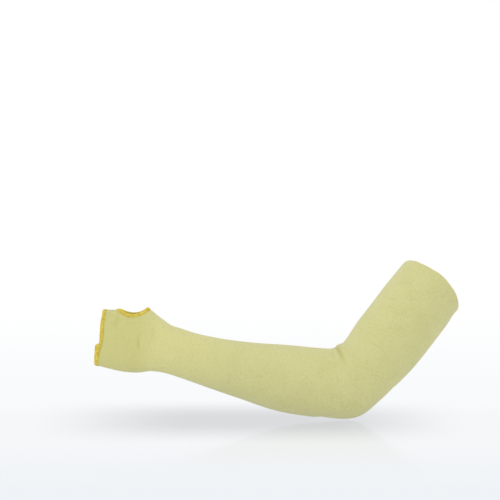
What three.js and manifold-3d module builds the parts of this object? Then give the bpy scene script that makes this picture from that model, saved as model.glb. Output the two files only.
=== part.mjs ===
// A seamless knitted work sleeve with a thumb hole, in the bent form it is worn in.
// Millimetres, +Z up. The hand end points to -X, the viewed side faces -Y, and the upper end
// leads up, to +X and away. The origin is the middle of the elbow, on the sleeve's middle line.
import * as THREE from "three";
import { mergeVertices } from "three/addons/utils/BufferGeometryUtils.js";
import Module from "manifold-3d";

// Lengths along the sleeve's middle line
const HAND_LENGTH = 92; // finished hand edge to wrist
const FOREARM_LENGTH = 274; // wrist to middle of the elbow
const UPPER_LENGTH = 196; // middle of the elbow to the upper edge

// Outside sizes of the worn knit: breadth is seen from the front, depth is near to far
const PALM_BREADTH = 82;
const PALM_DEPTH = 40;
const THUMB_BASE_BREADTH = 94; // across the palm at the root of the thumb
const WRIST_BREADTH = 67;
const WRIST_DEPTH = 50;
const FOREARM_BREADTH = 98; // at its fullest, below the elbow
const FOREARM_DEPTH = 88;
const ELBOW_BREADTH = 104;
const ELBOW_DEPTH = 94;
const UPPER_BREADTH = 106;
const UPPER_DEPTH = 100;
const WALL = 1.6; // thickness of the knit

// How the middle line runs
const HAND_DROP = 8; // degrees that the palm part falls away from level
const WRIST_DROP = 10; // further fall over the wrist
const WRIST_SPAN = 50;
const FOREARM_RISE = 12.4; // the forearm part's slow bow back towards level
const ELBOW_BEND = 59.5;
const ELBOW_RADIUS = 63; // of the middle line round the elbow
const ELBOW_ROLL = 34; // how far the upper part leans away from the viewed plane

// Thumb hole and edging
const THUMB_HOLE_LENGTH = 38; // finished opening, along the sleeve
const THUMB_HOLE_WIDTH = 32; // finished opening, round the sleeve
const THUMB_HOLE_FROM_EDGE = 24.5; // finished hand edge to the opening's near end
const THUMB_HOLE_AROUND = 90; // degrees round from the viewed side
const EDGING_REACH = 4.6; // how far the overlock stitches bite into the knit
const EDGING_THREAD = 0.8; // thickness of the layer of thread
const SEAT_GAP = 0.4; // between the knit and the thread on it

// How finely the surfaces are cut into facets
const FACETS_AROUND = 44;
const FACETS_ROUND_HOLE = 36;
const ROWS_PER_SECTION = 3;
const WALK_STEP = 1; // of the middle line, where it is added up

const WRIST_AT = HAND_LENGTH;
const ELBOW_AT = HAND_LENGTH + FOREARM_LENGTH;
const SLEEVE_LENGTH = ELBOW_AT + UPPER_LENGTH;
const KNIT_EDGE = EDGING_THREAD + SEAT_GAP; // the knit is cut this far inside a finished edge
const rad = THREE.MathUtils.degToRad;

// Sections of the worn knit. up and down are measured from the middle line to the top and
// bottom outline, near and far to the viewed and hidden side, and square fills out the corners.
const SECTIONS = [
  {
    along: 0,
    up: PALM_BREADTH * 0.495,
    down: PALM_BREADTH * 0.48,
    near: PALM_DEPTH * 0.44,
    far: PALM_DEPTH * 0.44,
    square: 0.22,
  },
  {
    along: HAND_LENGTH * 0.22,
    up: THUMB_BASE_BREADTH * 0.45,
    down: PALM_BREADTH * 0.51,
    near: PALM_DEPTH * 0.5,
    far: PALM_DEPTH * 0.47,
    square: 0.2,
  },
  {
    along: HAND_LENGTH * 0.46,
    up: THUMB_BASE_BREADTH * 0.51,
    down: PALM_BREADTH * 0.53,
    near: PALM_DEPTH * 0.56,
    far: PALM_DEPTH * 0.52,
    square: 0.16,
  },
  {
    along: HAND_LENGTH * 0.68,
    up: THUMB_BASE_BREADTH * 0.54,
    down: PALM_BREADTH * 0.51,
    near: PALM_DEPTH * 0.58,
    far: PALM_DEPTH * 0.54,
    square: 0.13,
  },
  {
    along: HAND_LENGTH * 0.9,
    up: WRIST_BREADTH * 0.6,
    down: WRIST_BREADTH * 0.55,
    near: WRIST_DEPTH * 0.47,
    far: WRIST_DEPTH * 0.47,
    square: 0.1,
  },
  {
    along: WRIST_AT + FOREARM_LENGTH * 0.08,
    up: WRIST_BREADTH * 0.48,
    down: WRIST_BREADTH * 0.52,
    near: WRIST_DEPTH * 0.5,
    far: WRIST_DEPTH * 0.5,
    square: 0.08,
  },
  {
    along: WRIST_AT + FOREARM_LENGTH * 0.24,
    up: WRIST_BREADTH * 0.51,
    down: WRIST_BREADTH * 0.54,
    near: WRIST_DEPTH * 0.56,
    far: WRIST_DEPTH * 0.56,
    square: 0.06,
  },
  {
    along: WRIST_AT + FOREARM_LENGTH * 0.44,
    up: FOREARM_BREADTH * 0.41,
    down: FOREARM_BREADTH * 0.415,
    near: FOREARM_DEPTH * 0.42,
    far: FOREARM_DEPTH * 0.42,
    square: 0.04,
  },
  {
    along: WRIST_AT + FOREARM_LENGTH * 0.64,
    up: FOREARM_BREADTH * 0.475,
    down: FOREARM_BREADTH * 0.49,
    near: FOREARM_DEPTH * 0.48,
    far: FOREARM_DEPTH * 0.48,
    square: 0.03,
  },
  {
    along: WRIST_AT + FOREARM_LENGTH * 0.82,
    up: FOREARM_BREADTH * 0.495,
    down: FOREARM_BREADTH * 0.505,
    near: FOREARM_DEPTH * 0.51,
    far: FOREARM_DEPTH * 0.51,
    square: 0.03,
  },
  {
    along: ELBOW_AT - ELBOW_RADIUS * 0.6,
    up: ELBOW_BREADTH * 0.47,
    down: ELBOW_BREADTH * 0.465,
    near: ELBOW_DEPTH * 0.49,
    far: ELBOW_DEPTH * 0.49,
    square: 0.03,
  },
  {
    along: ELBOW_AT - ELBOW_RADIUS * 0.1,
    up: ELBOW_BREADTH * 0.51,
    down: ELBOW_BREADTH * 0.505,
    near: ELBOW_DEPTH * 0.5,
    far: ELBOW_DEPTH * 0.5,
    square: 0.02,
  },
  {
    along: ELBOW_AT + ELBOW_RADIUS * 0.25,
    up: ELBOW_BREADTH * 0.525,
    down: ELBOW_BREADTH * 0.44,
    near: ELBOW_DEPTH * 0.5,
    far: ELBOW_DEPTH * 0.5,
    square: 0.02,
  },
  {
    along: ELBOW_AT + ELBOW_RADIUS * 0.6,
    up: ELBOW_BREADTH * 0.49,
    down: ELBOW_BREADTH * 0.46,
    near: ELBOW_DEPTH * 0.5,
    far: ELBOW_DEPTH * 0.5,
    square: 0.02,
  },
  {
    along: ELBOW_AT + UPPER_LENGTH * 0.42,
    up: UPPER_BREADTH * 0.48,
    down: UPPER_BREADTH * 0.5,
    near: UPPER_DEPTH * 0.49,
    far: UPPER_DEPTH * 0.49,
    square: 0,
  },
  {
    along: ELBOW_AT + UPPER_LENGTH * 0.75,
    up: UPPER_BREADTH * 0.495,
    down: UPPER_BREADTH * 0.51,
    near: UPPER_DEPTH * 0.5,
    far: UPPER_DEPTH * 0.5,
    square: 0,
  },
  {
    along: SLEEVE_LENGTH,
    up: UPPER_BREADTH * 0.485,
    down: UPPER_BREADTH * 0.505,
    near: UPPER_DEPTH * 0.5,
    far: UPPER_DEPTH * 0.5,
    square: 0,
  },
];

// Bends of the middle line, each an even turn over its span. Roll leans the bend's plane.
const BENDS = [
  {
    middle: WRIST_AT,
    span: WRIST_SPAN,
    turn: -WRIST_DROP,
    roll: 0,
  },
  {
    middle: WRIST_AT + FOREARM_LENGTH * 0.5,
    span: FOREARM_LENGTH * 0.7,
    turn: FOREARM_RISE,
    roll: 0,
  },
  {
    middle: ELBOW_AT,
    span: ELBOW_RADIUS * rad(ELBOW_BEND),
    turn: ELBOW_BEND,
    roll: ELBOW_ROLL,
  },
];

// Creases and ridges pressed into the knit. depth is inwards, reach is the half width along the
// sleeve, sweep the half width round it in degrees, and around is where its middle lies.
const FOLDS = [
  {
    along: ELBOW_AT + ELBOW_RADIUS * 0.1,
    around: 88,
    depth: ELBOW_RADIUS * 0.064,
    reach: ELBOW_RADIUS * 0.11,
    sweep: 38,
  },
  {
    along: ELBOW_AT - ELBOW_RADIUS * 0.16,
    around: 92,
    depth: ELBOW_RADIUS * -0.025,
    reach: ELBOW_RADIUS * 0.11,
    sweep: 40,
  },
  {
    along: ELBOW_AT + ELBOW_RADIUS * 0.36,
    around: 88,
    depth: ELBOW_RADIUS * -0.025,
    reach: ELBOW_RADIUS * 0.13,
    sweep: 40,
  },
];

// Waves of the two end edges: shift moves the edge towards the shoulder, sweep is the half width
// round the sleeve in degrees, and fade is how far from the edge the wave is still felt.
const EDGE_WAVES = [
  {
    along: 0,
    around: 12,
    shift: PALM_BREADTH * 0.03,
    sweep: 20,
    fade: HAND_LENGTH * 0.44,
  },
  {
    along: 0,
    around: -28,
    shift: PALM_BREADTH * -0.03,
    sweep: 20,
    fade: HAND_LENGTH * 0.44,
  },
  {
    along: SLEEVE_LENGTH,
    around: 60,
    shift: UPPER_BREADTH * 0.03,
    sweep: 28,
    fade: UPPER_LENGTH * 0.36,
  },
  {
    along: SLEEVE_LENGTH,
    around: -40,
    shift: UPPER_BREADTH * -0.023,
    sweep: 28,
    fade: UPPER_LENGTH * 0.36,
  },
];

// A column of a table of sections at a place along the sleeve, on a smooth curve through its rows.
function column(rows, key, along) {
  const last = rows.length - 1;
  let i = 0;
  while (i < last - 1 && along > rows[i + 1].along) i += 1;
  const slope = (k) => {
    const a = rows[Math.max(k - 1, 0)];
    const b = rows[Math.min(k + 1, last)];
    return (b[key] - a[key]) / (b.along - a.along);
  };
  const span = rows[i + 1].along - rows[i].along;
  const t = (along - rows[i].along) / span;
  const t2 = t * t;
  const t3 = t2 * t;
  return (
    (2 * t3 - 3 * t2 + 1) * rows[i][key] +
    (t3 - 2 * t2 + t) * span * slope(i) +
    (3 * t2 - 2 * t3) * rows[i + 1][key] +
    (t3 - t2) * span * slope(i + 1)
  );
}

// The sleeve's own axes at a place along it: x runs on towards the shoulder, y up and z to the viewer.
function heading(along) {
  const start = new THREE.Quaternion().setFromEuler(new THREE.Euler(Math.PI / 2, 0, 0));
  const drop = new THREE.Quaternion().setFromAxisAngle(new THREE.Vector3(0, 0, 1), rad(-HAND_DROP));
  const turned = start.multiply(drop);
  for (const bend of BENDS) {
    const share = THREE.MathUtils.clamp((along - bend.middle) / bend.span + 0.5, 0, 1);
    const axis = new THREE.Vector3(0, Math.sin(rad(bend.roll)), Math.cos(rad(bend.roll)));
    turned.multiply(new THREE.Quaternion().setFromAxisAngle(axis, rad(bend.turn) * share));
  }
  return turned;
}

// The sleeve's middle line, added up in short steps, with the elbow moved to the origin.
function makeMiddleLine() {
  const points = [new THREE.Vector3()];
  const steps = Math.ceil(SLEEVE_LENGTH / WALK_STEP);
  const step = SLEEVE_LENGTH / steps;
  for (let i = 0; i < steps; i += 1) {
    const ahead = new THREE.Vector3(step, 0, 0).applyQuaternion(heading((i + 0.5) * step));
    points.push(points[i].clone().add(ahead));
  }
  const at = (along) => {
    const place = THREE.MathUtils.clamp(along / step, 0, steps - 1e-6);
    const i = Math.floor(place);
    return points[i].clone().lerp(points[i + 1], place - i);
  };
  const elbow = at(ELBOW_AT);
  return (along) => at(along).sub(elbow);
}

const middleLine = makeMiddleLine();

// A bell curve that is 1 in the middle and nearly 0 at twice the half width.
function bell(distance, halfWidth) {
  return Math.exp(-((distance / halfWidth) ** 2) * Math.LN2);
}

// The short way round from one angle to another, in degrees.
function angleBetween(a, b) {
  return THREE.MathUtils.euclideanModulo(a - b + 180, 360) - 180;
}

// How far the folds push the knit in at a place on it.
function foldDepth(along, around) {
  return FOLDS.reduce(
    (sum, fold) =>
      sum +
      fold.depth *
        bell(along - fold.along, fold.reach) *
        bell(angleBetween(around, fold.around), fold.sweep),
    0,
  );
}

// Where a place on the knit, counted from a level hand edge, lies once the end edges are waved.
function waved(place, around) {
  return EDGE_WAVES.reduce((sum, wave) => {
    const fade = Math.max(1 - Math.abs(place - wave.along) / wave.fade, 0);
    return sum + wave.shift * bell(angleBetween(around, wave.around), wave.sweep) * fade;
  }, place);
}

// A point of the knit's outer face. around is in degrees: 0 is the viewed side, 90 the top.
function facePoint(place, around) {
  const along = waved(place, around);
  const sine = Math.sin(rad(around));
  const cosine = Math.cos(rad(around));
  const square = column(SECTIONS, "square", along);
  const rise = column(SECTIONS, sine > 0 ? "up" : "down", along);
  const side = column(SECTIONS, cosine > 0 ? "near" : "far", along);
  const pressed = 1 - foldDepth(along, around) / Math.hypot(rise * sine, side * cosine);
  return new THREE.Vector3(
    0,
    rise * sine * (1 + square * cosine * cosine) * pressed,
    side * cosine * (1 + square * sine * sine) * pressed,
  )
    .applyQuaternion(heading(along))
    .add(middleLine(along));
}

// A point of the knit, raised above its outer face, or below it where raised is negative.
function knitPoint(place, around, raised) {
  const point = facePoint(place, around);
  if (raised === 0) return point;
  const alongStep = 0.5;
  const aroundStep = 1;
  const ahead = facePoint(place + alongStep, around).sub(facePoint(place - alongStep, around));
  const up = facePoint(place, around + aroundStep).sub(facePoint(place, around - aroundStep));
  return point.add(ahead.cross(up).setLength(raised));
}

function meshOf(points, triangles) {
  const positions = points.flatMap((point) => point.toArray());
  return new THREE.BufferGeometry()
    .setAttribute("position", new THREE.Float32BufferAttribute(positions, 3))
    .setIndex(triangles);
}

// A closed body from rings of points: each ring closes on itself, and the last ring on the first.
function ringBody(rings) {
  const across = rings[0].length;
  const triangles = [];
  rings.forEach((ring, i) => {
    const next = (i + 1) % rings.length;
    for (let j = 0; j < across; j += 1) {
      const beside = (j + 1) % across;
      const a = i * across + j;
      const b = next * across + j;
      const c = next * across + beside;
      const d = i * across + beside;
      triangles.push(a, b, c, a, c, d);
    }
  });
  return meshOf(rings.flat(), triangles);
}

// A closed body from rings of points, drawn together to one point at either end.
function cappedBody(rings, firstPoint, lastPoint) {
  const across = rings[0].length;
  const first = rings.length * across;
  const last = first + 1;
  const triangles = [];
  for (let j = 0; j < across; j += 1) {
    const beside = (j + 1) % across;
    triangles.push(first, beside, j);
    for (let i = 0; i < rings.length - 1; i += 1) {
      const here = i * across;
      const next = here + across;
      triangles.push(here + j, here + beside, next + beside);
      triangles.push(here + j, next + beside, next + j);
    }
    triangles.push(last, first - across + j, first - across + beside);
  }
  return meshOf([...rings.flat(), firstPoint, lastPoint], triangles);
}

const wasm = await Module();
wasm.setup();

function toSolid(geometry) {
  const merged = mergeVertices(geometry, 1e-4);
  return new wasm.Manifold(
    new wasm.Mesh({
      numProp: 3,
      vertProperties: merged.attributes.position.array,
      triVerts: new Uint32Array(merged.index.array),
    }),
  );
}

function toGeometry(solid) {
  const mesh = solid.getMesh();
  const geometry = new THREE.BufferGeometry()
    .setAttribute("position", new THREE.BufferAttribute(mesh.vertProperties, 3))
    .setIndex(new THREE.BufferAttribute(mesh.triVerts, 1));
  geometry.computeVertexNormals();
  return geometry;
}

// Angles round the sleeve, one for each facet.
function facetAngles(count) {
  return Array.from({ length: count }, (_, j) => (360 * j) / count);
}

// Places along the sleeve for the knit's rings, closer together where the sections are.
function ringPlaces(from) {
  const places = [from];
  for (let i = 0; i < SECTIONS.length - 1; i += 1) {
    for (let k = 1; k <= ROWS_PER_SECTION; k += 1) {
      const share = k / ROWS_PER_SECTION;
      places.push(
        THREE.MathUtils.lerp(SECTIONS[i].along, SECTIONS[i + 1].along, share),
      );
    }
  }
  return places;
}

// The knit tube, open at both ends, before the thumb hole is cut.
function makeTube() {
  const places = ringPlaces(KNIT_EDGE);
  const ring = (place, raised) =>
    facetAngles(FACETS_AROUND).map((around) => knitPoint(place, around, raised));
  const outside = places.map((place) => ring(place, 0));
  const inside = places.map((place) => ring(place, -WALL)).reverse();
  return ringBody([...outside, ...inside]);
}

// The angle reached by going a distance round the section from a starting angle.
function angleAfter(distance, place, from) {
  const steps = 12;
  let around = from;
  for (let k = 0; k < steps; k += 1) {
    const probe = Math.sign(distance) || 1;
    const here = facePoint(place, around);
    const perDegree = here.distanceTo(facePoint(place, around + probe));
    around += distance / steps / perDegree;
  }
  return around;
}

// A point beside the thumb hole. clear is how far it lies outside the finished opening, and share
// draws it in towards the middle of the hole.
function besideHole(turn, clear, raised, share = 1) {
  const middle = THUMB_HOLE_FROM_EDGE + THUMB_HOLE_LENGTH / 2;
  const place = middle + share * (THUMB_HOLE_LENGTH / 2 + clear) * Math.cos(rad(turn));
  const round = share * (THUMB_HOLE_WIDTH / 2 + clear) * Math.sin(rad(turn));
  return knitPoint(place, angleAfter(round, place, THUMB_HOLE_AROUND), raised);
}

// The plug of material that is taken out of the tube for the thumb.
function makeThumbPlug() {
  const above = 2.5 * WALL;
  const below = -3.5 * WALL;
  const layers = [
    { share: 0.5, raised: below },
    { share: 1, raised: below },
    { share: 1, raised: above },
    { share: 0.5, raised: above },
  ];
  const rings = layers.map(({ share, raised }) =>
    facetAngles(FACETS_ROUND_HOLE).map((turn) => besideHole(turn, KNIT_EDGE, raised, share)),
  );
  return cappedBody(rings, besideHole(0, 0, below, 0), besideHole(0, 0, above, 0));
}

// The section of an edging, folded over a cut edge: back is how far it lies from the finished
// edge, and raised is measured from the knit's outer face. It is the same on the inner face.
function edgingSection() {
  const skin = [
    { back: 0, raised: 0 },
    { back: EDGING_THREAD, raised: SEAT_GAP + EDGING_THREAD },
    { back: EDGING_REACH / 2, raised: SEAT_GAP + EDGING_THREAD },
    { back: EDGING_REACH, raised: SEAT_GAP + EDGING_THREAD },
  ];
  const bed = [
    { back: EDGING_REACH, raised: SEAT_GAP },
    { back: EDGING_REACH / 2, raised: SEAT_GAP },
    { back: EDGING_THREAD, raised: SEAT_GAP },
  ];
  const outside = [...skin, ...bed];
  const inside = outside.map(({ back, raised }) => ({ back, raised: -WALL - raised })).reverse();
  return [...outside, ...inside];
}

function makeHandEdging() {
  const rings = facetAngles(FACETS_AROUND).map((around) =>
    edgingSection().map(({ back, raised }) => knitPoint(back, around, raised)),
  );
  return ringBody(rings.reverse());
}

function makeThumbEdging() {
  const rings = facetAngles(FACETS_ROUND_HOLE).map((turn) =>
    edgingSection().map(({ back, raised }) => besideHole(turn, back, raised)),
  );
  return ringBody(rings.reverse());
}

function makeSleeve() {
  return toGeometry(toSolid(makeTube()).subtract(toSolid(makeThumbPlug())));
}

const knitYarn = new THREE.MeshStandardMaterial({ color: "#cdc98c", roughness: 0.95, metalness: 0 });
const edgingThread = new THREE.MeshStandardMaterial({ color: "#d0b845", roughness: 0.8, metalness: 0 });

function addPiece(group, name, geometry, material) {
  const mesh = new THREE.Mesh(geometry, material);
  mesh.name = name;
  group.add(mesh);
}

const sleeve = new THREE.Group();
addPiece(sleeve, "sleeve_body", makeSleeve(), knitYarn);
addPiece(sleeve, "hand_edging", makeHandEdging(), edgingThread);
addPiece(sleeve, "thumb_edging", makeThumbEdging(), edgingThread);
export default sleeve;
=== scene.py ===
# A knitted work sleeve with a thumb hole, in the bent form that it is worn in.
# The knit tube and its two overlocked edges are modelled here and take the place of the CAD solids.
import math
import random
from functools import lru_cache

import bpy
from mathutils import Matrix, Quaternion, Vector


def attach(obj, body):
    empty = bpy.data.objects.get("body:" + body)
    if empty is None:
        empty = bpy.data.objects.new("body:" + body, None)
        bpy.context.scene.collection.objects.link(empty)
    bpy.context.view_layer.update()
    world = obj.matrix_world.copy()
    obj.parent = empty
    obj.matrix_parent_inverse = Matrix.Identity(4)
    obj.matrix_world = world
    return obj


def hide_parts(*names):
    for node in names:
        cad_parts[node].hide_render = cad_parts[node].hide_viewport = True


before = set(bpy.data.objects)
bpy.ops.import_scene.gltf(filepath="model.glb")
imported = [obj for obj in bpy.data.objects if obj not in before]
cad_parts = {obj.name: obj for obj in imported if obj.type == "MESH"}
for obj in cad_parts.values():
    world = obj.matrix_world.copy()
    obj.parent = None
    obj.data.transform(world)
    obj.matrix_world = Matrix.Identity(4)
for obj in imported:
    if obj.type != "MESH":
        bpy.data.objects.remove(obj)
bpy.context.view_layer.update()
print("stage: frame loaded")

# The sizes of the worn form, in metres and degrees, as in the part's source
wornForm = {
    "handLength": 0.092,  # finished hand edge to wrist
    "forearmLength": 0.274,
    "upperLength": 0.196,
    "palmBreadth": 0.082,
    "palmDepth": 0.040,
    "thumbBaseBreadth": 0.094,
    "wristBreadth": 0.067,
    "wristDepth": 0.050,
    "forearmBreadth": 0.098,
    "forearmDepth": 0.088,
    "elbowBreadth": 0.104,
    "elbowDepth": 0.094,
    "upperBreadth": 0.106,
    "upperDepth": 0.100,
    "handDrop": 8,
    "wristDrop": 10,
    "wristSpan": 0.050,
    "forearmRise": 12.4,
    "elbowBend": 59.5,
    "elbowRadius": 0.063,
    "elbowRoll": 34,
}
handPart, forearmPart = wornForm["handLength"], wornForm["forearmLength"]
elbowPart, upperPart = wornForm["elbowRadius"], wornForm["upperLength"]
wristAt = handPart
elbowAt = wristAt + forearmPart
sleeveLength = elbowAt + upperPart


def section(along, breadth, up, down, depth, near, far, square):
    b, d = wornForm[breadth], wornForm[depth]  # the other sizes are shares of these two
    return {
        "along": along,
        "up": b * up,
        "down": b * down,
        "near": d * near,
        "far": d * far,
        "square": square,
    }


sections = [  # along, breadth, up, down, depth, near, far, square
    section(0, "palmBreadth", 0.495, 0.48, "palmDepth", 0.44, 0.44, 0.22),
    section(handPart * 0.22, "palmBreadth", 0.516, 0.51, "palmDepth", 0.5, 0.47, 0.2),
    section(handPart * 0.46, "thumbBaseBreadth", 0.51, 0.462, "palmDepth", 0.56, 0.52, 0.16),
    section(handPart * 0.68, "thumbBaseBreadth", 0.54, 0.445, "palmDepth", 0.58, 0.54, 0.13),
    section(handPart * 0.9, "wristBreadth", 0.6, 0.55, "wristDepth", 0.47, 0.47, 0.1),
    section(wristAt + forearmPart * 0.08, "wristBreadth", 0.48, 0.52, "wristDepth", 0.5, 0.5, 0.08),
    section(wristAt + forearmPart * 0.24, "wristBreadth", 0.51, 0.54, "wristDepth", 0.56, 0.56, 0.06),
    section(wristAt + forearmPart * 0.44, "forearmBreadth", 0.41, 0.415, "forearmDepth", 0.42, 0.42, 0.04),
    section(wristAt + forearmPart * 0.64, "forearmBreadth", 0.475, 0.49, "forearmDepth", 0.48, 0.48, 0.03),
    section(wristAt + forearmPart * 0.82, "forearmBreadth", 0.495, 0.505, "forearmDepth", 0.51, 0.51, 0.03),
    section(elbowAt - elbowPart * 0.6, "elbowBreadth", 0.47, 0.465, "elbowDepth", 0.49, 0.49, 0.03),
    section(elbowAt - elbowPart * 0.1, "elbowBreadth", 0.51, 0.505, "elbowDepth", 0.5, 0.5, 0.02),
    section(elbowAt + elbowPart * 0.25, "elbowBreadth", 0.525, 0.44, "elbowDepth", 0.5, 0.5, 0.02),
    section(elbowAt + elbowPart * 0.6, "elbowBreadth", 0.49, 0.46, "elbowDepth", 0.5, 0.5, 0.02),
    section(elbowAt + upperPart * 0.42, "upperBreadth", 0.48, 0.5, "upperDepth", 0.49, 0.49, 0),
    section(elbowAt + upperPart * 0.75, "upperBreadth", 0.495, 0.51, "upperDepth", 0.5, 0.5, 0),
    section(sleeveLength, "upperBreadth", 0.485, 0.505, "upperDepth", 0.5, 0.5, 0),
]

elbowSpan = elbowPart * math.radians(wornForm["elbowBend"])
bends = [  # middle and span along the sleeve, turn and roll in degrees
    (wristAt, wornForm["wristSpan"], -wornForm["wristDrop"], 0),
    (wristAt + forearmPart * 0.5, forearmPart * 0.7, wornForm["forearmRise"], 0),
    (elbowAt, elbowSpan, wornForm["elbowBend"], wornForm["elbowRoll"]),
]


def sectionValue(key, along):  # smooth curve through one column of the sections
    i = 0
    while i < len(sections) - 2 and along > sections[i + 1]["along"]:
        i += 1

    def slope(k):
        a, b = sections[max(k - 1, 0)], sections[min(k + 1, len(sections) - 1)]
        return (b[key] - a[key]) / (b["along"] - a["along"])

    span = sections[i + 1]["along"] - sections[i]["along"]
    t = (along - sections[i]["along"]) / span
    start, end = sections[i][key], sections[i + 1][key]
    return (
        (2 * t**3 - 3 * t**2 + 1) * start
        + (t**3 - 2 * t**2 + t) * span * slope(i)
        + (3 * t**2 - 2 * t**3) * end
        + (t**3 - t**2) * span * slope(i + 1)
    )


def headingAt(along):  # x runs towards the upper end, y up and z to the viewer
    turned = Quaternion((1, 0, 0), math.pi / 2) @ Quaternion((0, 0, 1), -math.radians(wornForm["handDrop"]))
    for middle, span, turn, roll in bends:
        share = min(max((along - middle) / span + 0.5, 0), 1)
        axis = Vector((0, math.sin(math.radians(roll)), math.cos(math.radians(roll))))
        turned = turned @ Quaternion(axis, math.radians(turn) * share)
    return turned


walkStep = 0.001
middleLine = [Vector()]
while len(middleLine) < sleeveLength / walkStep + 2:
    ahead = headingAt((len(middleLine) - 0.5) * walkStep) @ Vector((walkStep, 0, 0))
    middleLine.append(middleLine[-1] + ahead)


def alongMiddle(along):
    place = along / walkStep
    k = min(max(int(place), 0), len(middleLine) - 2)
    return middleLine[k].lerp(middleLine[k + 1], place - k)


elbowPoint = alongMiddle(elbowAt)


@lru_cache(maxsize=None)
def formAt(along):  # all that the knit needs to know of the form at one place
    values = [sectionValue(key, along) for key in ("up", "down", "near", "far", "square")]
    return values, headingAt(along), alongMiddle(along) - elbowPoint


def bell(distance, halfWidth):  # 1 at the middle and a half at the half width
    return math.exp(-((distance / halfWidth) ** 2) * math.log(2))


def angleBetween(a, b):
    return (a - b + 180) % 360 - 180


def fold(along, around, depth, reach, sweep, lean=0.0, tint=0.0):
    return {
        "along": along,
        "around": around,
        "depth": depth,
        "reach": reach,
        "sweep": sweep,
        "lean": lean,
        "tint": tint,
    }


# Creases and ridges of the worn knit. Depth is inwards, reach the half width along the sleeve, sweep
# the half width round it in degrees, lean slides the fold along as it goes round, and tint paints shade into
# the fold.
knitFolds = [
    fold(elbowAt - 0.0132, 66, 0.0021, 0.0036, 25, -0.00007, 0.44),
    fold(elbowAt - 0.0110, 100, 0.0016, 0.0075, 34),
    fold(elbowAt - 0.0046, 72, -0.0015, 0.0046, 28, -0.00005),
    fold(elbowAt - 0.0220, 66, -0.0009, 0.0040, 26, -0.00005),
    fold(elbowAt - 0.0310, 62, 0.0008, 0.0036, 20, -0.00014, 0.25),
    fold(elbowAt + 0.0140, 96, 0.0014, 0.0080, 36),
    fold(elbowAt + 0.0440, 96, 0.0014, 0.0150, 40),
    fold(elbowAt + 0.0850, 98, -0.0010, 0.0180, 44),
    fold(elbowAt + 0.0310, -66, 0.0012, 0.0085, 40),
    fold(elbowAt - 0.0260, -80, 0.0009, 0.0110, 40),
    fold(wristAt + 0.0040, 92, 0.0026, 0.0085, 36),
    fold(sleeveLength - 0.0130, -72, 0.0012, 0.0090, 28),
    fold(0.0010, 92, 0.0010, 0.0060, 60),
    fold(0.0270, 80, -0.0013, 0.0050, 13),
    fold(0.0640, 88, -0.0008, 0.0060, 16),
    fold(0.0240, 38, 0.0008, 0.0032, 13, 0.0, 0.32),
    fold(0.0585, 2, 0.0005, 0.0010, 9, -0.00017, 0.70),
    fold(0.0760, 24, 0.0006, 0.0040, 12, 0.0, 0.18),
]

# How the end edges stray from a level line: angle round the sleeve in degrees, shift in metres
handWander = [
    (-180, 0.0012), (-75, 0.0010), (-52, 0.0007), (-28, 0.0006), (-2, 0.0036), (8, 0.0031),
    (30, 0.0020), (56, 0.0020), (88, 0.0018), (120, 0.0014), (180, 0.0012),
]
handStep = [  # the sharp step near the middle of the hand edge
    (-180, 0), (-90, -0.0004), (-55, -0.0010), (-28, -0.0018), (-12, -0.0042), (-7, -0.0004),
    (16, -0.0009), (50, -0.0004), (88, -0.0003), (180, 0),
]
rimWander = [
    (-180, 0), (-90, -0.0010), (-45, -0.0024), (-10, -0.0006), (20, 0.0011), (38, 0.0002),
    (54, 0.0005), (75, 0.0027), (90, 0.0037), (105, 0.0033), (130, 0.0004), (180, 0),
]
edgeLines = [  # each shift fades over a length of the sleeve
    {"edge": 0, "fade": 0.040, "line": handWander},
    {"edge": 0, "fade": 0.0046, "line": handStep},
    {"edge": sleeveLength, "fade": 0.070, "line": rimWander},
]


def shiftAt(line, around):
    turn = angleBetween(around, 0)
    for (low, first), (high, second) in zip(line, line[1:]):
        if turn <= high:
            t = max(turn - low, 0) / (high - low)
            return first + (second - first) * t * t * (3 - 2 * t)
    return line[-1][1]


def waved(place, around):  # the end edges don't run straight round the sleeve
    along = place
    for edgeLine in edgeLines:
        left = 1 - abs(place - edgeLine["edge"]) / edgeLine["fade"]
        if left > 0:
            along += shiftAt(edgeLine["line"], around) * left
    return along


def foldedBy(along, around, key):  # the folds' depth or painted shade (their tint) at one point of the knit
    total = 0
    for one in knitFolds:
        gap = angleBetween(around, one["around"])
        offset = along - one["along"] - one["lean"] * gap
        if one[key] and abs(offset) < 4 * one["reach"]:
            total += one[key] * bell(offset, one["reach"]) * bell(gap, one["sweep"])
    return total


def facePoint(place, around):  # a point of the knit's face; 90 degrees is up and 0 to the viewer
    along = waved(place, around)
    (up, down, near, far, square), heading, middle = formAt(round(along, 7))
    sine, cosine = math.sin(math.radians(around)), math.cos(math.radians(around))
    rise = (up if sine > 0 else down) * sine
    side = (near if cosine > 0 else far) * cosine
    scale = 1 - foldedBy(along, around, "depth") / math.hypot(rise, side)
    flat = Vector((0, rise * (1 + square * cosine**2) * scale, side * (1 + square * sine**2) * scale))
    return heading @ flat + middle


def knitPoint(place, around, raised):  # a point above the knit's face, or below it
    point = facePoint(place, around)
    step, turn = 0.0005, 1  # to either side, for the slope of the face
    ahead = facePoint(place + step, around) - facePoint(place - step, around)
    upward = facePoint(place, around + turn) - facePoint(place, around - turn)
    return point + ahead.cross(upward).normalized() * raised


def angleAfter(distance, place, start):  # the angle reached by going a distance round the knit
    around, steps = start, 12
    probe = 1 if distance >= 0 else -1
    for _ in range(steps):
        perDegree = (facePoint(place, around + probe) - facePoint(place, around)).length
        around += distance / steps / perDegree
    return around


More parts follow.
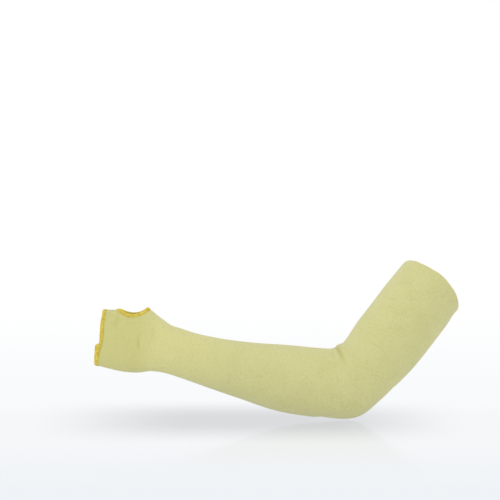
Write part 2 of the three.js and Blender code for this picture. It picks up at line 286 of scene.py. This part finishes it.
thumbHole = {
    "length": 0.0365,  # finished opening, along the sleeve
    "width": 0.034,  # finished opening, round the sleeve
    "fromEdge": 0.0260,
    "endBite": 0.35,  # the edging is this much wider at the hand end of the hole
    "endSweep": 55,  # half width of that wider end, in degrees round the hole
    "around": 90,
    "skew": 0.0030,  # how far its widest place lies beyond the middle
    "reachAlong": 0.04,  # no part of the hole is farther from its middle than these two
    "reachAround": 75,
}
holeMiddle = thumbHole["fromEdge"] + thumbHole["length"] / 2


def besideHole(turn, clear, raised):
    clear *= 1 + thumbHole["endBite"] * bell(angleBetween(turn, 180), thumbHole["endSweep"])
    cosine, sine = math.cos(math.radians(turn)), math.sin(math.radians(turn))
    place = holeMiddle + (thumbHole["length"] / 2 + clear) * cosine + thumbHole["skew"] * sine**2
    distance = (thumbHole["width"] / 2 + clear) * sine
    return knitPoint(place, angleAfter(distance, place, thumbHole["around"]), raised)


def besideHandEdge(turn, back, raised):
    return knitPoint(back, turn, raised)


def selectOnly(piece):
    bpy.ops.object.select_all(action="DESELECT")
    piece.select_set(True)
    bpy.context.view_layer.objects.active = piece


def useModifier(piece, kind, **settings):
    modifier = piece.modifiers.new(kind.title(), kind)
    for name, value in settings.items():
        setattr(modifier, name, value)
    selectOnly(piece)
    bpy.ops.object.modifier_apply(modifier=modifier.name)


def newPiece(name, points, faces):
    mesh = bpy.data.meshes.new(name)
    mesh.from_pydata(points, [], faces)
    mesh.update()
    piece = bpy.data.objects.new(name, mesh)
    bpy.context.scene.collection.objects.link(piece)
    return piece


def finishPiece(piece, node, material):
    selectOnly(piece)
    bpy.ops.object.shade_smooth()
    piece.data.materials.clear()
    piece.data.materials.append(material)
    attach(piece, "root")
    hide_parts(node)


# Shader helpers
def addNode(tree, kind, **settings):
    node = tree.nodes.new(kind)
    for name, value in settings.items():
        setattr(node, name, value)
    return node


def plug(tree, source, socket):
    if isinstance(source, (int, float, tuple)):
        socket.default_value = source
    else:
        tree.links.new(source, socket)


def mathNode(tree, operation, first, second=0.0):
    node = addNode(tree, "ShaderNodeMath", operation=operation)
    plug(tree, first, node.inputs[0])
    plug(tree, second, node.inputs[1])
    return node.outputs[0]


def mixColours(tree, factor, first, second):
    node = addNode(tree, "ShaderNodeMix", data_type="RGBA")
    plug(tree, factor, node.inputs["Factor"])
    plug(tree, first, node.inputs[6])
    plug(tree, second, node.inputs[7])
    return node.outputs[2]


def noiseNode(tree, vector, scale, detail, roughness):
    node = addNode(tree, "ShaderNodeTexNoise")
    tree.links.new(vector, node.inputs["Vector"])
    node.inputs["Scale"].default_value = scale
    node.inputs["Detail"].default_value = detail
    node.inputs["Roughness"].default_value = roughness
    return node.outputs["Fac"]


def spread(tree, value, low, high, newLow=0.0, newHigh=1.0, shape="LINEAR"):
    node = addNode(tree, "ShaderNodeMapRange", interpolation_type=shape)
    tree.links.new(value, node.inputs["Value"])
    for name, number in zip(("From Min", "From Max", "To Min", "To Max"), (low, high, newLow, newHigh)):
        node.inputs[name].default_value = number
    return node.outputs["Result"]


def easedSpread(tree, value, low, high):
    return spread(tree, value, low, high, shape="SMOOTHSTEP")


def splitNode(tree, vector):
    node = addNode(tree, "ShaderNodeSeparateXYZ")
    tree.links.new(vector, node.inputs[0])
    return node.outputs


def linear(red, green, blue):  # a colour read off a screen, 0 to 255, as the shader wants it
    return tuple(((c / 255 + 0.055) / 1.055) ** 2.4 for c in (red, green, blue)) + (1.0,)


def newMaterial(name):
    material = bpy.data.materials.new(name)
    material.use_nodes = True
    return material, material.node_tree, material.node_tree.nodes["Principled BSDF"]


def yarnFinish(tree, shader, colour, height, yarn):  # what the knit and the thread have in common
    tree.links.new(colour, shader.inputs["Base Color"])
    bump = addNode(tree, "ShaderNodeBump")
    bump.inputs["Strength"].default_value = yarn["bumpStrength"]
    bump.inputs["Distance"].default_value = yarn["bumpDepth"]
    tree.links.new(height, bump.inputs["Height"])
    tree.links.new(bump.outputs["Normal"], shader.inputs["Normal"])
    shader.inputs["Roughness"].default_value = yarn["roughness"]
    shader.inputs["Specular IOR Level"].default_value = yarn["specular"]
    shader.inputs["Sheen Weight"].default_value = yarn["sheen"]
    shader.inputs["Sheen Roughness"].default_value = yarn["sheenRoughness"]


shadedPalmTone = linear(207, 203, 127)
litWristTone = linear(229, 224, 152)
knitYarn = {
    "wales": 120,  # columns of stitches round the sleeve
    "courses": 375,  # rows of stitches along it
    "legSlant": 1.1,  # how far a stitch's legs lean, in rows
    "loopSoftness": 0.6,  # under 1 fills the stitch out
    "pale": linear(220, 217, 158),
    "deep": linear(206, 203, 137),
    "tones": [  # place as a share of the length, colour, amount: painted shade deepens the palm, painted light pales the wrist
        (0.0, shadedPalmTone, 0.60),
        (0.10, shadedPalmTone, 0.60),
        (0.15, litWristTone, 0.50),
        (0.25, litWristTone, 0.38),
        (0.34, litWristTone, 0.0),
    ],
    # painted shade in the grooves between the stitches
    "grooveShade": linear(187, 182, 121),
    "fleck": linear(186, 181, 119),
    # painted shade for the creases and the palm's dents
    "creaseShadeColour": linear(188, 180, 98),
    "meanRadius": 0.043,
    "slubLength": 0.0036,
    "slubHeight": 0.0011,
    "longSlub": (4, 2.6),  # the long slubs' length and height, in short ones
    "patchScale": 38.0,
    "fleckScale": 420.0,
    "fibreScale": 2600.0,
    "slubBand": (0.28, 0.74),  # from deep to pale yarn
    "patchBand": (0.35, 0.70, 0.0, 0.50),  # noise from and to, amount from and to
    "longSlubBand": (0.60, 0.78, 0.0, 0.38),
    "fleckBand": (0.62, 0.72),
    "gatherBand": (0.44, 0.60, 0.10, 0.60),  # the flecks gather in patches
    "grooveShadeBand": (0.0, 0.55, 0.50, 0.0),
    "creaseShadeBand": (0.04, 1.0),
    "fibreLift": 0.30,  # heights as shares of a stitch's
    "slubLift": 0.25,
    "bumpStrength": 0.5,
    "bumpDepth": 0.00045,
    "roughness": 0.92,
    "specular": 0.12,
    "sheen": 0.28,
    "sheenRoughness": 0.5,
}


def slubNoise(tree, turn, along, length, height, detail):  # streaks along the yarn, round the sleeve
    angle = mathNode(tree, "MULTIPLY", turn, 2 * math.pi)
    girth = knitYarn["meanRadius"] / length
    spot = addNode(tree, "ShaderNodeCombineXYZ")
    tree.links.new(mathNode(tree, "MULTIPLY", mathNode(tree, "COSINE", angle), girth), spot.inputs[0])
    tree.links.new(mathNode(tree, "MULTIPLY", mathNode(tree, "SINE", angle), girth), spot.inputs[1])
    tree.links.new(mathNode(tree, "MULTIPLY", along, sleeveLength / height), spot.inputs[2])
    return noiseNode(tree, spot.outputs[0], 1.0, detail, 0.6)


def stitchHeight(tree, turn, along):  # each stitch is a V of two slanting legs
    wale = mathNode(tree, "MULTIPLY", turn, float(knitYarn["wales"]))
    course = mathNode(tree, "MULTIPLY", along, float(knitYarn["courses"]))
    fromMiddle = mathNode(tree, "ABSOLUTE", mathNode(tree, "SUBTRACT", mathNode(tree, "FRACT", wale), 0.5))
    leg = mathNode(tree, "SINE", mathNode(tree, "MULTIPLY", fromMiddle, 2 * math.pi))
    slanted = mathNode(tree, "ADD", course, mathNode(tree, "MULTIPLY", fromMiddle, knitYarn["legSlant"]))
    loop = mathNode(tree, "SINE", mathNode(tree, "MULTIPLY", mathNode(tree, "FRACT", slanted), math.pi))
    rounded = mathNode(tree, "MULTIPLY", mathNode(tree, "MAXIMUM", leg, 0.0), loop)
    return mathNode(tree, "POWER", rounded, knitYarn["loopSoftness"])


def toneAlong(tree, along, colour):  # painted shade over the palm and painted light at the wrist set them a little apart from the rest
    tone = addNode(tree, "ShaderNodeValToRGB")
    tree.links.new(along, tone.inputs[0])
    stops = tone.color_ramp.elements
    while len(stops) < len(knitYarn["tones"]):
        stops.new(0.5)
    for stop, (place, hue, amount) in zip(stops, knitYarn["tones"]):
        stop.position, stop.color = place, hue[:3] + (amount,)
    return mixColours(tree, tone.outputs["Alpha"], colour, tone.outputs["Color"])


def knitMaterial():
    material, tree, shader = newMaterial("paleKnit")
    parts = splitNode(tree, addNode(tree, "ShaderNodeUVMap", uv_map="knitMap").outputs["UV"])
    turn, along = parts["X"], parts["Y"]
    stitch = stitchHeight(tree, turn, along)
    length, height = knitYarn["slubLength"], knitYarn["slubHeight"]
    longer, higher = knitYarn["longSlub"]
    slub = slubNoise(tree, turn, along, length, height, 3.0)
    longSlub = slubNoise(tree, turn, along, length * longer, height * higher, 2.0)
    objectSpace = addNode(tree, "ShaderNodeTexCoord").outputs["Object"]
    patches = noiseNode(tree, objectSpace, knitYarn["patchScale"], 3.0, 0.55)
    flecks = noiseNode(tree, objectSpace, knitYarn["fleckScale"], 1.0, 0.5)
    fibres = noiseNode(tree, objectSpace, knitYarn["fibreScale"], 2.0, 0.7)

    colour = mixColours(tree, spread(tree, slub, *knitYarn["slubBand"]), knitYarn["deep"], knitYarn["pale"])
    colour = mixColours(tree, spread(tree, patches, *knitYarn["patchBand"]), colour, knitYarn["deep"])
    # painted light and shade along the sleeve: a paler wrist and a deeper palm
    colour = toneAlong(tree, along, colour)
    colour = mixColours(tree, spread(tree, longSlub, *knitYarn["longSlubBand"]), colour, knitYarn["fleck"])
    gathered = spread(tree, patches, *knitYarn["gatherBand"])
    gathered = mathNode(tree, "MULTIPLY", spread(tree, flecks, *knitYarn["fleckBand"]), gathered)
    colour = mixColours(tree, gathered, colour, knitYarn["fleck"])
    # painted shade: darker in the low grooves between the stitch loops
    colour = mixColours(tree, spread(tree, stitch, *knitYarn["grooveShadeBand"]), colour, knitYarn["grooveShade"])
    # painted shade: darker where the folds carry a tint, in place of the shade in the creases
    paintedCreaseShade = addNode(tree, "ShaderNodeAttribute", attribute_name="paintedCreaseShade").outputs["Fac"]
    colour = mixColours(tree, spread(tree, paintedCreaseShade, *knitYarn["creaseShadeBand"]), colour, knitYarn["creaseShadeColour"])

    height = mathNode(tree, "ADD", stitch, mathNode(tree, "MULTIPLY", fibres, knitYarn["fibreLift"]))
    height = mathNode(tree, "ADD", height, mathNode(tree, "MULTIPLY", slub, knitYarn["slubLift"]))
    yarnFinish(tree, shader, colour, height, knitYarn)
    return material


overlockThread = {
    "colour": linear(229, 212, 96),
    "deep": linear(210, 185, 64),
    "radius": 0.00030,
    "pitch": 0.0012,  # between neighbouring turns of one thread
    "reach": 0.0046,  # needle line, back from the finished edge
    "seatGap": 0.00012,
    "sides": 6,
    "passes": [(1.0, 0.8, 0.0), (1.5, -0.8, 0.5)],  # lift in radii, slant, and shift in turns
    "slantShare": 0.9,
    "pull": (0.94, 1.06),  # tight and slack turns
    "fuzz": 0.00005,
    "bandLip": 0.0004,  # the band's places, back from the finished edge
    "bandShoulder": 0.0008,
    "bandInside": 0.0009,
    "patchScale": 220.0,
    "patchBand": (0.35, 0.68),
    "fibreScale": 3500.0,
    "bumpStrength": 0.5,
    "bumpDepth": 0.0002,
    "roughness": 0.75,
    "specular": 0.2,
    "sheen": 0.15,
    "sheenRoughness": 0.5,
}


def threadMaterial():
    material, tree, shader = newMaterial("yellowOverlock")
    objectSpace = addNode(tree, "ShaderNodeTexCoord").outputs["Object"]
    patches = noiseNode(tree, objectSpace, overlockThread["patchScale"], 3.0, 0.6)
    fibres = noiseNode(tree, objectSpace, overlockThread["fibreScale"], 2.0, 0.7)
    worn = spread(tree, patches, *overlockThread["patchBand"])
    colour = mixColours(tree, worn, overlockThread["colour"], overlockThread["deep"])
    yarnFinish(tree, shader, colour, fibres, overlockThread)
    return material


knitTube = {
    "wall": 0.0016,
    "rowSteps": [(0.075, 0.0013), (0.330, 0.0026), (0.400, 0.0012), (0.562, 0.0026)],  # up to, spacing
    "columns": 136,
    "edgeInset": 0.0012,  # the cut edge lies this far inside the edging
    "edgeRound": 0.0005,
    "edgeAngle": 55,  # edges sharper than this are rounded
}
holeHalfLength = thumbHole["length"] / 2 + knitTube["edgeInset"]  # of the cut, inside the edging
holeHalfWidth = thumbHole["width"] / 2 + knitTube["edgeInset"]


def holeCoordinates(place, around):  # 1 on the cut edge of the thumb hole, more outside it
    top = thumbHole["around"]
    beyondAlong = abs(place - holeMiddle) > thumbHole["reachAlong"]
    if beyondAlong or abs(angleBetween(around, top)) > thumbHole["reachAround"]:
        return 9.0, 0.0, 0.0
    steps = 10
    points = [facePoint(place, top + (around - top) * k / steps) for k in range(steps + 1)]
    distance = sum((b - a).length for a, b in zip(points, points[1:])) * (1 if around > top else -1)
    y = distance / holeHalfWidth
    x = (place - holeMiddle - thumbHole["skew"] * min(y * y, 1)) / holeHalfLength
    return math.hypot(x, y), x, y


def onHoleEdge(share, x, y):  # the point of the cut edge that lies straight out from a point in the hole
    place = holeMiddle + x / share * holeHalfLength + thumbHole["skew"] * (y / share) ** 2
    return place, angleAfter(y / share * holeHalfWidth, place, thumbHole["around"])


def knitRows():  # places along the sleeve, closer together at the hand and the crook
    places = [knitTube["edgeInset"]]
    for end, spacing in knitTube["rowSteps"]:
        start = places[-1]
        count = round((end - start) / spacing)
        places += [start + (end - start) * (i + 1) / count for i in range(count)]
    return places


def mapKnit(knit, faces, corners, grid):  # the stitches' map: turn round the sleeve, share of its length
    uvLayer = knit.data.uv_layers.new(name="knitMap")
    loop = 0
    for face, columnsOf in zip(faces, corners):
        for k, column in zip(face, columnsOf):
            turn = grid[k][1] / 360 % 1
            if column == knitTube["columns"] and turn < 0.5:
                turn += 1
            uvLayer.data[loop].uv = (turn, grid[k][0] / sleeveLength)
            loop += 1


def makeKnit():
    columns, places = knitTube["columns"], knitRows()
    grid = [(place, 360 * j / columns) for place in places for j in range(columns)]  # place and angle
    holed = [holeCoordinates(place, around) for place, around in grid]
    faces, corners = [], []
    for i in range(len(places) - 1):
        for j in range(columns):
            beside = (j + 1) % columns
            row, nextRow = i * columns, (i + 1) * columns
            face = (row + j, nextRow + j, nextRow + beside, row + beside)
            if any(holed[k][0] >= 1 for k in face):
                faces.append(face)
                corners.append((j, j, j + 1, j + 1))
    used = sorted({k for face in faces for k in face})
    for k in used:
        if 0 < holed[k][0] < 1:  # what is left over the hole is drawn out to its cut edge
            grid[k] = onHoleEdge(*holed[k])
    renumbered = {k: n for n, k in enumerate(used)}
    points = [facePoint(*grid[k]) for k in used]
    knit = newPiece("sleeveKnit", points, [[renumbered[k] for k in face] for face in faces])
    # the painted shade of the creases, kept on the points for the knit's material
    paintedCreaseShade = knit.data.attributes.new("paintedCreaseShade", "FLOAT", "POINT")
    paintedCreaseShade.data.foreach_set("value", [foldedBy(waved(*grid[k]), grid[k][1], "tint") for k in used])
    mapKnit(knit, faces, corners, grid)
    useModifier(knit, "SOLIDIFY", thickness=knitTube["wall"], offset=-1, use_rim=True)
    sharp = math.radians(knitTube["edgeAngle"])
    rounding = {"width": knitTube["edgeRound"], "segments": 2, "limit_method": "ANGLE", "angle_limit": sharp}
    useModifier(knit, "BEVEL", **rounding)
    finishPiece(knit, "sleeve_body", knitMaterial())
    return knit


def evenTurns(edgePoint):  # angles that step evenly along an edge, one for each turn of thread
    fine, back = 720, overlockThread["reach"] / 2
    points = [edgePoint(360 * k / fine, back, 0) for k in range(fine + 1)]
    lengths = [0.0]
    for a, b in zip(points, points[1:]):
        lengths.append(lengths[-1] + (b - a).length)
    count = round(lengths[-1] / overlockThread["pitch"])
    turns, k = [], 0
    for n in range(count):
        target = lengths[-1] * n / count
        while lengths[k + 1] < target:
            k += 1
        share = (target - lengths[k]) / (lengths[k + 1] - lengths[k])
        turns.append(360 * (k + share) / fine)
    return turns


def wrapSection(lift):  # once round the folded edge: back from it, and height over the knit
    reach, over = overlockThread["reach"], overlockThread["seatGap"] + lift
    wall = knitTube["wall"]
    return [
        (reach, over),
        (reach * 0.66, over),
        (reach * 0.33, over),
        (reach * 0.08, over * 0.6),
        (0, -wall * 0.25),
        (0, -wall * 0.75),
        (reach * 0.08, -wall - over * 0.6),
        (reach * 0.33, -wall - over),
        (reach * 0.66, -wall - over),
        (reach, -wall - over),
        (reach * 1.04, -wall * 0.5),
    ]


def ringFaces(rings, sides):  # joins closed rings of points, one after another and the last to the first
    faces = []
    for n in range(rings):
        here, following = n * sides, (n + 1) % rings * sides
        for k in range(sides):
            beside = (k + 1) % sides
            faces.append((here + k, here + beside, following + beside, following + k))
    return faces


def windThread(edgePoint, turns, lift, slant, seed):
    dice = random.Random(seed)
    count, sides, radius = len(turns), overlockThread["sides"], overlockThread["radius"]
    fuzz = overlockThread["fuzz"]
    section = wrapSection(lift)
    centres = []
    for n in range(count):
        start = turns[n]
        step = (turns[(n + 1) % count] - start) % 360
        pull = dice.uniform(*overlockThread["pull"])
        for k, (back, raised) in enumerate(section):
            way = k / len(section)
            share = slant * math.sin(math.pi * (way - 0.5)) * overlockThread["slantShare"] + way
            centres.append(edgePoint(start + step * share, back * pull, raised + dice.uniform(-fuzz, fuzz)))
    points, total = [], len(centres)
    for n, centre in enumerate(centres):
        ahead = (centres[(n + 1) % total] - centres[n - 1]).normalized()
        edgeWay = (centres[(n + len(section)) % total] - centres[n - len(section)]).normalized()
        out = ahead.cross(edgeWay).normalized()
        side = out.cross(ahead)
        for k in range(sides):
            angle = 2 * math.pi * k / sides
            points.append(centre + (out * math.cos(angle) + side * math.sin(angle)) * radius)
    return points, ringFaces(total, sides)


def bandPoints(edgePoint, count):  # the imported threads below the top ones, as one folded band
    reach, gap = overlockThread["reach"], overlockThread["seatGap"]
    wall, top = knitTube["wall"], gap + overlockThread["radius"]
    lip, shoulder, inside = (overlockThread[key] for key in ("bandLip", "bandShoulder", "bandInside"))
    outer = [(lip, 0), (shoulder, top), (reach / 2, top), (reach, top)]
    inner = [(reach, gap), (reach / 2, gap), (inside, gap)]
    face = outer + inner
    section = face + [(back, -wall - raised) for back, raised in reversed(face)]
    points = []
    for n in range(count):
        points += [edgePoint(360 * n / count, back, raised) for back, raised in section]
    return points, ringFaces(count, len(section))


def makeEdging(name, node, edgePoint, seed, material):
    turns = evenTurns(edgePoint)
    step = 360 / len(turns)
    points, faces = [], []

    def addRings(newPoints, newFaces):
        faces.extend([k + len(points) for k in face] for face in newFaces)
        points.extend(newPoints)

    for lift, slant, shift in overlockThread["passes"]:
        moved = [turn + step * shift for turn in turns]
        lifted = lift * overlockThread["radius"]
        addRings(*windThread(edgePoint, moved, lifted, slant, seed + len(points)))
    addRings(*bandPoints(edgePoint, len(turns)))
    edging = newPiece(name, points, faces)
    finishPiece(edging, node, material)
    return edging


knit = makeKnit()
print("stage: knit tube")
threadFinish = threadMaterial()
handEdging = makeEdging("handOverlock", "hand_edging", besideHandEdge, 3, threadFinish)
thumbEdging = makeEdging("thumbOverlock", "thumb_edging", besideHole, 11, threadFinish)
print("stage: overlocked edges")

viewCamera = {
    "distance": 3.0,
    "tilt": 4.0,  # degrees below level
    "pixel": 0.00142,  # width of a pixel at the elbow
    "frame": 500,  # pixels across
    "originPixel": (350.7, 380.1),  # where the elbow's middle falls in the frame
    "sensor": 36,  # millimetres
    "farthest": 50,
}
studioFloor = {
    "height": -0.0562,
    "radius": 3.0,
    "facets": 96,
    "back": linear(255, 255, 255),  # paper white, a little greyer and bluer to the front
    "middle": linear(247, 249, 251),
    "front": linear(239, 243, 247),
    "toMiddle": (1.7, -0.10),  # from and to, along y
    "toFront": (-0.15, -0.62),
    "poolColour": (0.0, 0.0, 0.02, 1.0),
    "poolDepth": 0.26,  # how much the soft pool of shade takes from the floor
    "poolLeft": (-0.47, -0.215),
    "poolRight": (0.18, -0.05),
    "poolMiddle": -0.012,
    "poolReach": (0.22, 0.02),
    "mirror": 0.125,
    "mirrorFront": (-0.55, -0.18),
    "mirrorBack": (0.16, 0.02),
    "mirrorRoughness": 0.12,
}
studioLight = {
    "world": 0.925,
    "seenWorld": 1.0,  # where the world is seen, itself or in a mirror
    "low": 0.24,  # what the pale floor throws back up
    "lamps": [  # name, place, size, power
        ("topLight", (-0.25, -0.35, 1.7), 1.6, 3.9),
        ("frontLight", (-1.6, -2.1, 0.3), 1.4, 7.4),
    ],
    "aim": (-0.1, 0, 0),
    "lampTint": (0.98, 0.98, 1.12),
}


def makeCamera():
    tilt = math.radians(viewCamera["tilt"])
    right = Vector((1, 0, 0))
    forward = Vector((0, math.cos(tilt), -math.sin(tilt)))
    upward = Vector((0, math.sin(tilt), math.cos(tilt)))
    x, y = viewCamera["originPixel"]
    pixel, distance, across = viewCamera["pixel"], viewCamera["distance"], viewCamera["frame"]
    aside, below = (x - across / 2) * pixel, (y - across / 2) * pixel
    data = bpy.data.cameras.new("viewCamera")
    data.sensor_width = viewCamera["sensor"]
    data.lens = viewCamera["sensor"] * distance / (across * pixel)
    data.clip_end = viewCamera["farthest"]
    camera = bpy.data.objects.new("viewCamera", data)
    camera.location = -(right * aside - upward * below + forward * distance)
    camera.rotation_euler = (math.pi / 2 - tilt, 0, 0)
    bpy.context.scene.collection.objects.link(camera)
    bpy.context.scene.camera = camera


def floorTint(tree, x, y):
    nearer = easedSpread(tree, y, *studioFloor["toMiddle"])
    tint = mixColours(tree, nearer, studioFloor["back"], studioFloor["middle"])
    tint = mixColours(tree, easedSpread(tree, y, *studioFloor["toFront"]), tint, studioFloor["front"])

    # the soft pool of shade below the sleeve
    fromMiddle = mathNode(tree, "ABSOLUTE", mathNode(tree, "SUBTRACT", y, studioFloor["poolMiddle"]))
    pool = easedSpread(tree, fromMiddle, *studioFloor["poolReach"])
    pool = mathNode(tree, "MULTIPLY", pool, easedSpread(tree, x, *studioFloor["poolLeft"]))
    pool = mathNode(tree, "MULTIPLY", pool, easedSpread(tree, x, *studioFloor["poolRight"]))
    shade = mathNode(tree, "MULTIPLY", pool, studioFloor["poolDepth"])
    return mixColours(tree, shade, tint, studioFloor["poolColour"])


def floorMaterial():  # lets the white studio through, tinted, with a faint mirror below the sleeve
    material, tree, shader = newMaterial("paleFloor")
    parts = splitNode(tree, addNode(tree, "ShaderNodeTexCoord").outputs["Object"])
    x, y = parts["X"], parts["Y"]
    clear = addNode(tree, "ShaderNodeBsdfTransparent")
    tree.links.new(floorTint(tree, x, y), clear.inputs["Color"])
    gloss = addNode(tree, "ShaderNodeBsdfGlossy")
    gloss.inputs["Roughness"].default_value = studioFloor["mirrorRoughness"]
    mirror = easedSpread(tree, y, *studioFloor["mirrorFront"])
    mirror = mathNode(tree, "MULTIPLY", mirror, studioFloor["mirror"])
    mirror = mathNode(tree, "MULTIPLY", mirror, easedSpread(tree, y, *studioFloor["mirrorBack"]))
    blend = addNode(tree, "ShaderNodeMixShader")
    for source, socket in zip((mirror, clear.outputs[0], gloss.outputs[0]), blend.inputs):
        tree.links.new(source, socket)
    tree.links.new(blend.outputs[0], tree.nodes["Material Output"].inputs["Surface"])
    tree.nodes.remove(shader)
    return material


def makeFloor():
    bpy.ops.mesh.primitive_circle_add(
        vertices=studioFloor["facets"], radius=studioFloor["radius"], fill_type="NGON", location=(0, 0, 0)
    )
    floor = bpy.context.object
    floor.name = "studioFloor"
    for vertex in floor.data.vertices:
        vertex.co.z = studioFloor["height"]
    floor.data.materials.append(floorMaterial())


def makeWorld():
    world = bpy.data.worlds.new("studioWorld")
    bpy.context.scene.world = world
    world.use_nodes = True
    tree = world.node_tree
    background = tree.nodes["Background"]
    path = addNode(tree, "ShaderNodeLightPath")
    seen = mathNode(tree, "MAXIMUM", path.outputs["Is Camera Ray"], path.outputs["Is Glossy Ray"])
    parts = splitNode(tree, addNode(tree, "ShaderNodeTexCoord").outputs["Generated"])
    low = mathNode(tree, "MAXIMUM", mathNode(tree, "MULTIPLY", parts["Z"], -studioLight["low"]), 0.0)
    low = mathNode(tree, "MULTIPLY", low, mathNode(tree, "SUBTRACT", 1.0, seen))
    strength = spread(tree, seen, 0.0, 1.0, studioLight["world"], studioLight["seenWorld"])
    tree.links.new(mathNode(tree, "ADD", strength, low), background.inputs["Strength"])
    background.inputs["Color"].default_value = (1, 1, 1, 1)


def makeLamps():
    for name, place, size, power in studioLight["lamps"]:
        data = bpy.data.lights.new(name, "AREA")
        data.color = studioLight["lampTint"]
        data.shape = "SQUARE"
        data.size = size
        data.energy = power
        lamp = bpy.data.objects.new(name, data)
        lamp.location = place
        towards = Vector(studioLight["aim"]) - Vector(place)
        lamp.rotation_euler = towards.to_track_quat("-Z", "Y").to_euler()
        bpy.context.scene.collection.objects.link(lamp)


makeCamera()
makeFloor()
makeWorld()
makeLamps()
bpy.context.scene.view_settings.view_transform = "Standard"
print("stage: studio")
